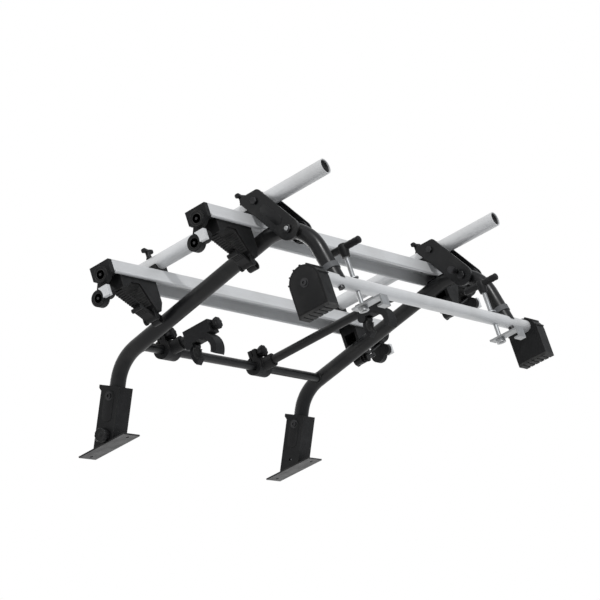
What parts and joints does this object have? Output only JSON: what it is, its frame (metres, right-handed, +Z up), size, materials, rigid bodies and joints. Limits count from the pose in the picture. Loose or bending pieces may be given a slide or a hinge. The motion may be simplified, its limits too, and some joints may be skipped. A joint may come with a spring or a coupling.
{
  "type": "rear bike rack",
  "caption": "Rear bike rack for a tailgate: bent black hoops, folding platform with aluminium wheel trays, strap wheel holders and swinging frame grips.",
  "frame": {"origin": "on the plane of the tailgate's outer skin, midway between the hoops, level with the lower cross tube", "axes": "+Z up the closed tailgate, -Y outwards away from the vehicle, +X to the right seen from behind"},
  "size_m": [1.3564, 0.4377, 0.9429],
  "materials": {
    "black_steel": "semi-gloss powder coat",
    "anodised_aluminium": "satin anodised",
    "black_plastic": "grained",
    "grip_plastic": "soft grained",
    "knob_plastic": "grained",
    "rubber": "matte",
    "strap_plastic": "smooth",
    "grey_plastic": "grained",
    "zinc_steel": "zinc plated"
  },
  "bodies": {
    "frame": {"left_hoop": "black_steel", "right_hoop": "black_steel", "upper_cross_tube": "black_steel", "lower_cross_tube": "anodised_aluminium", "upper_shoes": "black_plastic", "upper_door_brackets": "black_steel", "lower_feet": "black_plastic", "foot_pads": "rubber", "leg_collars": "grey_plastic", "lock_plates": "black_steel", "pivot_bolts": "zinc_steel", "cross_tube_bolts": "zinc_steel"},
    "platform": {"left_bracket": "black_steel", "right_bracket": "black_steel", "left_rail": "anodised_aluminium", "right_rail": "anodised_aluminium", "rail_caps": "black_plastic", "near_tray": "anodised_aluminium", "far_tray": "anodised_aluminium", "tray_end_caps": "black_plastic", "tray_end_plugs": "anodised_aluminium", "tray_saddles": "black_plastic", "platform_bolts": "zinc_steel"},
    "left shoe knob": {"left_shoe_knob": "knob_plastic"},
    "left tension handle": {"left_tension_handle": "knob_plastic"},
    "left lower hook": {"left_lower_hook": "zinc_steel"},
    "left lock pin": {"left_lock_pin": "zinc_steel"},
    "near left knob": {"near_left_knob": "knob_plastic"},
    "near left holder": {"near_left_holder": "black_plastic", "near_left_strap": "strap_plastic"},
    "near left lever": {"near_left_lever": "strap_plastic"},
    "far left knob": {"far_left_knob": "knob_plastic"},
    "far left holder": {"far_left_holder": "black_plastic", "far_left_strap": "strap_plastic"},
    "far left lever": {"far_left_lever": "strap_plastic"},
    "right shoe knob": {"right_shoe_knob": "knob_plastic"},
    "right tension handle": {"right_tension_handle": "knob_plastic"},
    "right lower hook": {"right_lower_hook": "zinc_steel"},
    "right lock pin": {"right_lock_pin": "zinc_steel"},
    "near right knob": {"near_right_knob": "knob_plastic"},
    "near right holder": {"near_right_holder": "black_plastic", "near_right_strap": "strap_plastic"},
    "near right lever": {"near_right_lever": "strap_plastic"},
    "far right knob": {"far_right_knob": "knob_plastic"},
    "far right holder": {"far_right_holder": "black_plastic", "far_right_strap": "strap_plastic"},
    "far right lever": {"far_right_lever": "strap_plastic"},
    "short arm": {"short_arm_clamp": "black_plastic", "short_arm_tube": "black_steel", "short_grip": "grip_plastic"},
    "short arm knob": {"short_arm_knob": "knob_plastic"},
    "short grip jaw": {"short_grip_jaw": "grip_plastic"},
    "short grip knob": {"short_grip_knob": "knob_plastic"},
    "long arm": {"long_arm_clamp": "black_plastic", "long_arm_tube": "black_steel", "long_grip": "grip_plastic"},
    "long arm knob": {"long_arm_knob": "knob_plastic"},
    "long grip jaw": {"long_grip_jaw": "grip_plastic"},
    "long grip knob": {"long_grip_knob": "knob_plastic"}
  },
  "joints": [
    {"name": "platform_fold", "type": "hinge", "parent": "frame", "child": "platform", "pos_m": [0, -0.27525, 0.07006], "axis": [1, 0, 0], "range_deg": [0, 90]},
    {"name": "left_shoe_knob_turn", "type": "hinge", "parent": "frame", "child": "left shoe knob", "pos_m": [-0.43, -0.024, 0.78], "axis": [1, 0, 0], "range_deg": [-720, 0]},
    {"name": "left_tension_turn", "type": "hinge", "parent": "frame", "child": "left tension handle", "pos_m": [-0.348, 0, 0], "axis": [0, -1, 0], "range_deg": [0, 1081]},
    {"name": "left_hook_draw", "type": "slide", "parent": "frame", "child": "left lower hook", "axis": [0, 1, 0], "range_m": [0, 0.00525]},
    {"name": "left_lock_slide", "type": "slide", "parent": "platform", "child": "left lock pin", "axis": [-1, 0, 0], "range_m": [0, 0.0055]},
    {"name": "near_left_knob_turn", "type": "hinge", "parent": "platform", "child": "near left knob", "pos_m": [-0.43, -0.38725, 0.18906], "axis": [0, -1, 0], "range_deg": [0, 720]},
    {"name": "near_left_holder_slide", "type": "slide", "parent": "platform", "child": "near left holder", "axis": [-1, 0, 0], "range_m": [-0.008, 0.011]},
    {"name": "near_left_lever_lift", "type": "hinge", "parent": "near left holder", "child": "near left lever", "pos_m": [-0.504, -0.22425, 0.18906], "axis": [0, 0, -1], "range_deg": [0, 90]},
    {"name": "far_left_knob_turn", "type": "hinge", "parent": "platform", "child": "far left knob", "pos_m": [-0.43, -0.38725, 0.50706], "axis": [0, -1, 0], "range_deg": [0, 720]},
    {"name": "far_left_holder_slide", "type": "slide", "parent": "platform", "child": "far left holder", "axis": [-1, 0, 0], "range_m": [-0.008, 0.011]},
    {"name": "far_left_lever_lift", "type": "hinge", "parent": "far left holder", "child": "far left lever", "pos_m": [-0.504, -0.22425, 0.50706], "axis": [0, 0, -1], "range_deg": [0, 90]},
    {"name": "right_shoe_knob_turn", "type": "hinge", "parent": "frame", "child": "right shoe knob", "pos_m": [0.43, -0.024, 0.78], "axis": [1, 0, 0], "range_deg": [-720, 0]},
    {"name": "right_tension_turn", "type": "hinge", "parent": "frame", "child": "right tension handle", "pos_m": [0.348, 0, 0], "axis": [0, -1, 0], "range_deg": [0, 1081]},
    {"name": "right_hook_draw", "type": "slide", "parent": "frame", "child": "right lower hook", "axis": [0, 1, 0], "range_m": [0, 0.00525]},
    {"name": "right_lock_slide", "type": "slide", "parent": "platform", "child": "right lock pin", "axis": [1, 0, 0], "range_m": [0, 0.0055]},
    {"name": "near_right_knob_turn", "type": "hinge", "parent": "platform", "child": "near right knob", "pos_m": [0.43, -0.38725, 0.18906], "axis": [0, -1, 0], "range_deg": [0, 720]},
    {"name": "near_right_holder_slide", "type": "slide", "parent": "platform", "child": "near right holder", "axis": [1, 0, 0], "range_m": [-0.008, 0.011]},
    {"name": "near_right_lever_lift", "type": "hinge", "parent": "near right holder", "child": "near right lever", "pos_m": [0.504, -0.22425, 0.18906], "axis": [0, 0, 1], "range_deg": [0, 90]},
    {"name": "far_right_knob_turn", "type": "hinge", "parent": "platform", "child": "far right knob", "pos_m": [0.43, -0.38725, 0.50706], "axis": [0, -1, 0], "range_deg": [0, 720]},
    {"name": "far_right_holder_slide", "type": "slide", "parent": "platform", "child": "far right holder", "axis": [1, 0, 0], "range_m": [-0.008, 0.011]},
    {"name": "far_right_lever_lift", "type": "hinge", "parent": "far right holder", "child": "far right lever", "pos_m": [0.504, -0.22425, 0.50706], "axis": [0, 0, 1], "range_deg": [0, 90]},
    {"name": "short_arm_swing", "type": "hinge", "parent": "frame", "child": "short arm", "pos_m": [-0.303, -0.21152, 0.618], "axis": [-1, 0, 0], "range_deg": [0, 28]},
    {"name": "short_arm_knob_turn", "type": "hinge", "parent": "short arm", "child": "short arm knob", "pos_m": [-0.303, -0.24902, 0.618], "axis": [0, 0, 1], "range_deg": [-720, 0]},
    {"name": "short_jaw_open", "type": "hinge", "parent": "short arm", "child": "short grip jaw", "pos_m": [-0.303, -0.18752, 0.539], "axis": [1, 0, 0], "range_deg": [0, 55]},
    {"name": "short_grip_knob_turn", "type": "hinge", "parent": "short arm", "child": "short grip knob", "pos_m": [-0.303, -0.21152, 0.461], "axis": [0, 0, 1], "range_deg": [-720, 0]},
    {"name": "long_arm_swing", "type": "hinge", "parent": "frame", "child": "long arm", "pos_m": [0.12, -0.21152, 0.618], "axis": [-1, 0, 0], "range_deg": [0, 9]},
    {"name": "long_arm_knob_turn", "type": "hinge", "parent": "long arm", "child": "long arm knob", "pos_m": [0.12, -0.24902, 0.618], "axis": [0, 0, 1], "range_deg": [-720, 0]},
    {"name": "long_jaw_open", "type": "hinge", "parent": "long arm", "child": "long grip jaw", "pos_m": [0.12, -0.18752, 0.254], "axis": [1, 0, 0], "range_deg": [0, 55]},
    {"name": "long_grip_knob_turn", "type": "hinge", "parent": "long arm", "child": "long grip knob", "pos_m": [0.12, -0.21152, 0.176], "axis": [0, 0, 1], "range_deg": [-720, 0]}
  ],
  "couplings": [
    {"joint": "left_tension_turn", "follows": "left_hook_draw", "rad_per_m": 3590.4},
    {"joint": "right_tension_turn", "follows": "right_hook_draw", "rad_per_m": 3590.4}
  ]
}
